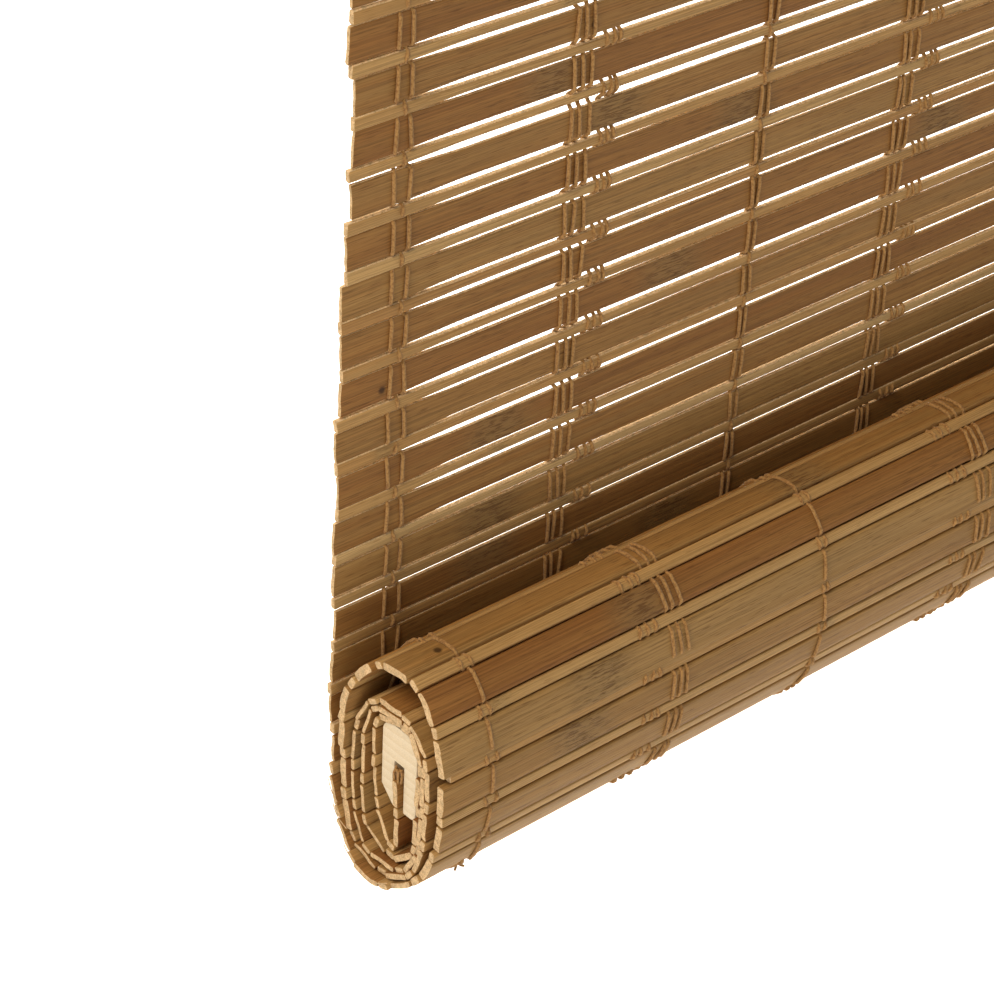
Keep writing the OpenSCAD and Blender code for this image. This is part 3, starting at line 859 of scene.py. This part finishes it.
# Warp threads, in columns that are pairs and triples by turns
thread = {
    "thick": 1.15,
    "sides": 6,
    "columns": 10,
    "edgeMargin": 17.0,
    "pairGap": 4.4,
    "pairShares": (0.5, 0.3),  # of the gap, to each side, in the edge column and the others
    "pairPinch": 0.85,  # share of the gap that is left where the pair passes a stick
    "tripleGap": 2.8,
    "tripleShift": 10.0,
    "backTriple": 0.9,  # behind the slats a triple is this much closer
    "wander": 0.35,
    "keepDrift": 0.75,  # how much of its drift a thread keeps from piece to piece
    "standOff": 0.7,  # share of a thread's half that stands clear of the bamboo
    "overSlat": ((-0.93, 0.8), (-0.8, 1.0), (0.0, 1.04), (0.8, 1.0), (0.93, 0.8)),  # place across, rise
    "overStick": ((-0.85, 0.6), (-0.3, 1.0), (0.3, 1.0), (0.85, 0.6)),
    "seed": 300,
}
columnStep = (mat["width"] - 2 * thread["edgeMargin"]) / (thread["columns"] - 1)


# One thread along the mat: side 1 lies in front of the slats and behind the sticks, side -1 the other way
def threadLine(pieces, side, xOnSlat, xInGap, xOnStick, rand):
    standOff = thread["standOff"] * (thread["thick"] / 2)
    line = []
    drift = 0.0
    for kind, s in pieces:
        isSlat = kind == "slat"
        width = mat[kind + "Width"]
        thick = sum(shapes[kind][layerAt(s) + "Thick"]) / 2
        level = (side if isSlat else -side) * (thick / 2 + standOff)
        drift = thread["keepDrift"] * drift + rand.uniform(-1, 1) * thread["wander"]
        x = (xOnSlat if isSlat else xOnStick) + drift
        lean = rand.uniform(-1, 1) * thread["wander"]
        skew = endShift(s)
        over = thread["overSlat"] if isSlat else thread["overStick"]
        spots = [(x + lean * share + skew, level * rise, share * width / 2) for share, rise in over]
        spots.append((xInGap + drift + skew, 0.0, width / 2 + mat["rowGap"] / 2))
        line.append(placeOnMat(np.array(spots), s, width))
    return np.vstack(line)


def layThreads(name, lines, thick, material):
    curve = bpy.data.curves.new(name, "CURVE")
    curve.dimensions = "3D"
    curve.bevel_depth = thick / 2 * mm
    curve.bevel_resolution = (thread["sides"] - 4) // 2  # none gives 4 sides, and each step 2 more
    curve.use_fill_caps = True
    for line in lines:
        spline = curve.splines.new("POLY")
        spline.points.add(len(line) - 1)
        spline.points.foreach_set("co", np.column_stack([line, np.ones(len(line))]).ravel())
    piece = bpy.data.objects.new(name, curve)
    bpy.context.scene.collection.objects.link(piece)
    makeActive(piece)
    bpy.ops.object.convert(target="MESH")
    piece = bpy.context.active_object
    bpy.ops.object.shade_smooth()
    piece.data.materials.append(material)
    return piece


def columnLines(column, pieces, rand):
    x = -mat["width"] / 2 + thread["edgeMargin"] + column * columnStep
    if column % 2 == 0:
        spread = thread["pairShares"][column > 0] * thread["pairGap"]
        pinched = thread["pairPinch"] * spread
        fronts = [(x + k * spread, x + k * pinched, x + k * pinched) for k in (-1, 1)]
        backs = [(x, x, x)]
    else:
        places = [k * thread["tripleGap"] for k in (-1, 0, 1)]
        fronts = [(x - thread["tripleShift"] / 2 + k,) * 3 for k in places]
        backs = [(x + thread["tripleShift"] / 2 + thread["backTriple"] * k,) * 3 for k in places]
    lines = [threadLine(pieces, 1, *at, rand) for at in fronts]
    return lines + [threadLine(pieces, -1, *at, rand) for at in backs]


for column in range(thread["columns"]):
    rand = random.Random(thread["seed"] + column)
    inner = 0 < column < thread["columns"] - 1
    hungLines = columnLines(column, hangingPieces, rand)
    hung = layThreads(f"warp_threads_{column + 1}", hungLines, thread["thick"], cotton)
    rideOn(hung, "head", "cotton", *([f"warp_{column + 1}"] if inner else []))
    foldWithRoll(hung)
    woundLines = columnLines(column, rolledPieces, rand)
    wound = layThreads(f"rolled_threads_{column + 1}", woundLines, thread["thick"], cotton)
    rideOn(wound, "roll", "cotton")
print("threads woven,", thread["columns"], "columns")


# Loose ends at the roll

strandShares = np.linspace(0, 1, 6)  # six points each
strandWave = 3  # radians of the wave along a strand
leftEdge = -mat["width"] / 2

# A frayed tuft of thread in the lath's slot
tuft = {
    "strands": 16,
    "thick": 0.7,
    "length": 5.0,
    "lengthShare": (0.6, 0.95),
    "below": 0.5,  # starts this far before the mat's end
    "inset": (-0.2, 1.6),
    "level": (-1.3, 1.3),
    "lean": (-0.4, 0.4),
    "curl": (-0.6, 1.0),
}


def tuftLines(rand):
    lines = []
    top = rollLength - roll["slotStop"]
    for i in range(tuft["strands"]):
        x = leftEdge + endShift(top) + rand.uniform(*tuft["inset"])
        level, lean, curl = (rand.uniform(*tuft[key]) for key in ("level", "lean", "curl"))
        across = x + curl * strandShares ** 2
        out = level + lean * np.sin(strandWave * strandShares)
        rise = strandShares * tuft["length"] * rand.uniform(*tuft["lengthShare"])
        lines.append(placeOnMat(np.column_stack([across, out, rise]), top - tuft["below"]))
    return lines


# Cut thread tails under the roll
tail = {
    "places": ((44, -286), (60, -287), (48, -168)),  # run and place across the blind
    "thick": 0.7,
    "length": 2.4,
    "level": -1.4,  # starts on the roll's outside
    "leans": (-0.5, 0.6),
    "droop": 0.3,
    "skew": 0.6,
}


def tailLines():
    lines = []
    reach = tail["length"] * strandShares
    out = tail["level"] - reach * (1 - tail["droop"] * strandShares)
    for run, x in tail["places"]:
        for lean in tail["leans"]:
            points = np.column_stack([x + lean * reach, out, tail["skew"] * lean * reach])
            lines.append(placeOnMat(points, run))
    return lines


# Splinters at the back of the roll's end
splinter = {
    "runs": (16, 24, 36, 50),
    "thick": 0.3,
    "length": 7.0,
    "lengthShare": (0.7, 1.1),
    "start": 0.3,  # share of its length before its run
    "out": (0.2, 0.8),
    "curl": 0.5,
    "lift": 0.5,
    "level": 0.4,
}


def splinterLines(rand):
    lines = []
    for run in splinter["runs"]:
        stretch = rand.uniform(*splinter["lengthShare"])
        reach = splinter["length"] * (strandShares - splinter["start"]) * stretch
        x = leftEdge + endShift(run) - rand.uniform(*splinter["out"])
        across = x - splinter["curl"] * np.sin(strandWave * strandShares)
        out = splinter["lift"] * reach + splinter["level"]
        lines.append(placeOnMat(np.column_stack([across, out, reach]), run))
    return lines


rand = random.Random(77)  # seed of the loose ends
rideOn(layThreads("slot_tuft", tuftLines(rand), tuft["thick"], cotton), "roll", "cotton")
rideOn(layThreads("thread_tails", tailLines(), tail["thick"], cotton), "roll", "cotton")
rideOn(layThreads("bamboo_splinters", splinterLines(rand), splinter["thick"], endBamboo), "roll", "bamboo")
print("loose ends laid")


# Core lath: a pine batten with rounded corners and a slot that holds the mat's end

def modelLath():
    clearSelection()
    bpy.ops.mesh.primitive_plane_add(size=1, rotation=(math.pi / 2, 0, math.pi / 2))
    piece = bpy.context.active_object
    piece.name = piece.data.name = "core_lath_dressed"
    bpy.ops.object.transform_apply(location=False, rotation=True, scale=False)
    piece.scale = (1, lath["depth"] * mm, lath["height"] * mm)
    left = -mat["width"] / 2 + lath["inset"]
    middle = lathBottom + lath["height"] / 2
    slotMid = (matY - slotU) * mm
    slotTop = (rollZ + lathBottom + lath["slotDepth"]) * mm
    piece.location = (left * mm, slotMid, (rollZ + middle) * mm)
    bpy.ops.object.transform_apply(location=True, rotation=False, scale=True)
    bpy.ops.object.mode_set(mode="EDIT")
    for side in (-1, 1):
        slotSide = (matY - slotU + side * lath["slotWidth"] / 2) * mm
        bpy.ops.mesh.select_all(action="SELECT")
        bpy.ops.mesh.bisect(plane_co=(0, slotSide, 0), plane_no=(0, 1, 0))
    bpy.ops.mesh.select_all(action="SELECT")
    bpy.ops.mesh.bisect(plane_co=(0, 0, slotTop), plane_no=(0, 0, 1))
    bpy.ops.object.mode_set(mode="OBJECT")
    for face in piece.data.polygons:
        isInSlot = abs(face.center.y - slotMid) < lath["slotWidth"] / 2 * mm
        face.select = isInSlot and face.center.z < slotTop
    bpy.ops.object.mode_set(mode="EDIT")
    bpy.ops.mesh.select_mode(type="FACE")
    bpy.ops.mesh.delete(type="FACE")
    bpy.ops.mesh.select_mode(type="VERT")
    front, back = (matY - lathBack - lath["depth"]) * mm, (matY - lathBack) * mm
    top, bottom = (rollZ + lath["rise"]) * mm, (rollZ + lathBottom) * mm
    corners = (
        (front, top, "frontTop"),
        (back, top, "backTop"),
        (front, bottom, "frontBottom"),
        (back, bottom, "backBottom"),
    )
    for y, z, corner in corners:
        radius, steps = lath[corner]
        bpy.ops.mesh.select_all(action="DESELECT")
        bpy.ops.object.mode_set(mode="OBJECT")
        for point in piece.data.vertices:
            point.select = abs(point.co.y - y) < hair and abs(point.co.z - z) < hair
        bpy.ops.object.mode_set(mode="EDIT")
        bpy.ops.mesh.bevel(offset=radius * mm, segments=steps, affect="VERTICES")
    length = (mat["width"] - 2 * lath["inset"]) * mm
    bpy.ops.mesh.select_all(action="SELECT")
    bpy.ops.mesh.extrude_region_move(TRANSFORM_OT_translate={"value": (length, 0, 0)})
    bpy.ops.mesh.select_all(action="SELECT")
    bpy.ops.mesh.normals_make_consistent(inside=False)
    bpy.ops.object.mode_set(mode="OBJECT")
    bpy.ops.object.modifier_add(type="BEVEL")
    worn = piece.modifiers[-1]
    worn.width = lath["worn"] * mm
    worn.segments = lath["wornSteps"]
    worn.angle_limit = math.radians(lath["wornAngle"])
    bpy.ops.object.modifier_apply(modifier=worn.name)
    bpy.ops.object.shade_smooth_by_angle(angle=math.radians(lath["smoothAngle"]))
    piece.data.materials.append(pine)
    return piece


rideOn(modelLath(), "roll", "pine", "core_lath")
print("core lath modelled")

# Rail, plates and pulleys keep their solids and get their finishes
finishes = {"pine": pine, "zinc_steel": zinc, "nylon": nylon, "bamboo": slatBamboo, "cotton": cotton}
for subpart in frame["record"]["subparts"]:
    node = frame["nodes"][subpart["node"]]
    node.data.materials.clear()
    node.data.materials.append(finishes[subpart["material_slot"]])

# Studio: a pale lit floor, a plain backdrop that is brightest at the horizon, soft light from the left
studio = {
    "floorZ": -1000.0,
    "floorSize": 90000.0,
    "floorColour": "#f4f2ee",
    "floorGlow": 0.64,
    "backdrop": "#f3f4f6",
    "sky": [(0.0, 0.88), (0.06, 0.5), (0.65, 0.14)],  # height of the view direction and brightness there
    "lights": (  # name, place, aim, size, power, spread, colour
        ("key_left", (-1300, -250, 900), (-250, -30, -610), 900, 25, 180, "#fff2e0"),
        ("rim_behind", (100, 700, 900), (0, 0, -450), 1200, 12, 120, "#fff6ea"),
        ("floor_behind", (350, 1100, 500), (350, 1100, -1000), 1400, 14, 70, "#ffffff"),
    ),
}
clearSelection()
bpy.ops.mesh.primitive_plane_add(size=studio["floorSize"] * mm, location=(0, 0, studio["floorZ"] * mm))
floor = bpy.context.active_object
floor.name = "floor"
floorColour = linear(studio["floorColour"])
floorFinish = {"Base Color": floorColour, "Roughness": 0.9,
               "Emission Color": floorColour, "Emission Strength": studio["floorGlow"]}
floor.data.materials.append(newMaterial("floor_matt_white", floorFinish)[0])

world = bpy.data.worlds.new("studio")
bpy.context.scene.world = world
world.use_nodes = True
backdrop = world.node_tree.nodes["Background"]
backdrop.inputs["Color"].default_value = linear(studio["backdrop"])
around = addNode(world.node_tree, "ShaderNodeTexCoord")
height = addNode(world.node_tree, "ShaderNodeSeparateXYZ", None, {0: around.outputs["Generated"]})
fade = addNode(world.node_tree, "ShaderNodeValToRGB", None, {"Fac": height.outputs["Z"]}, studio["sky"])
world.node_tree.links.new(fade.outputs["Color"], backdrop.inputs["Strength"])
for name, place, aim, size, power, spread, colour in studio["lights"]:
    bpy.ops.object.light_add(type="AREA", location=[v * mm for v in place])
    lamp = bpy.context.active_object
    lamp.name = name
    lamp.data.size = size * mm
    lamp.data.energy = power
    lamp.data.spread = math.radians(spread)
    lamp.data.color = linear(colour)[:3]
    lamp.visible_camera = False
    lamp.rotation_euler = (Vector(aim) - Vector(place)).to_track_quat("-Z", "Y").to_euler()
print("studio lit")

# Camera: the photograph's place and view
view = {
    "azimuth": -42.43,
    "elevation": 33.82,
    "roll": 2.93,
    "place": (-700.4, -500.4, -150.0),
    "lens": 106.0,
    "sensor": 36.0,
    "clip": (0.01, 200),  # metres
}
azimuth, elevation, tip = (math.radians(view[key]) for key in ("azimuth", "elevation", "roll"))
level = math.cos(elevation)
back = Vector((math.sin(azimuth) * level, -math.cos(azimuth) * level, math.sin(elevation)))
right = (-back).cross(Vector((0, 0, 1))).normalized()
up = right.cross(-back)
rightTipped = math.cos(tip) * right + math.sin(tip) * up
upTipped = math.cos(tip) * up - math.sin(tip) * right
turned = Matrix((rightTipped, upTipped, back)).transposed().to_4x4()
bpy.ops.object.camera_add()
camera = bpy.context.active_object
camera.matrix_world = Matrix.Translation(Vector(view["place"]) * mm) @ turned
camera.data.lens = view["lens"]
camera.data.sensor_width = view["sensor"]
camera.data.clip_start, camera.data.clip_end = view["clip"]
bpy.context.scene.camera = camera
bpy.context.scene.view_settings.view_transform = "Standard"

print("done")
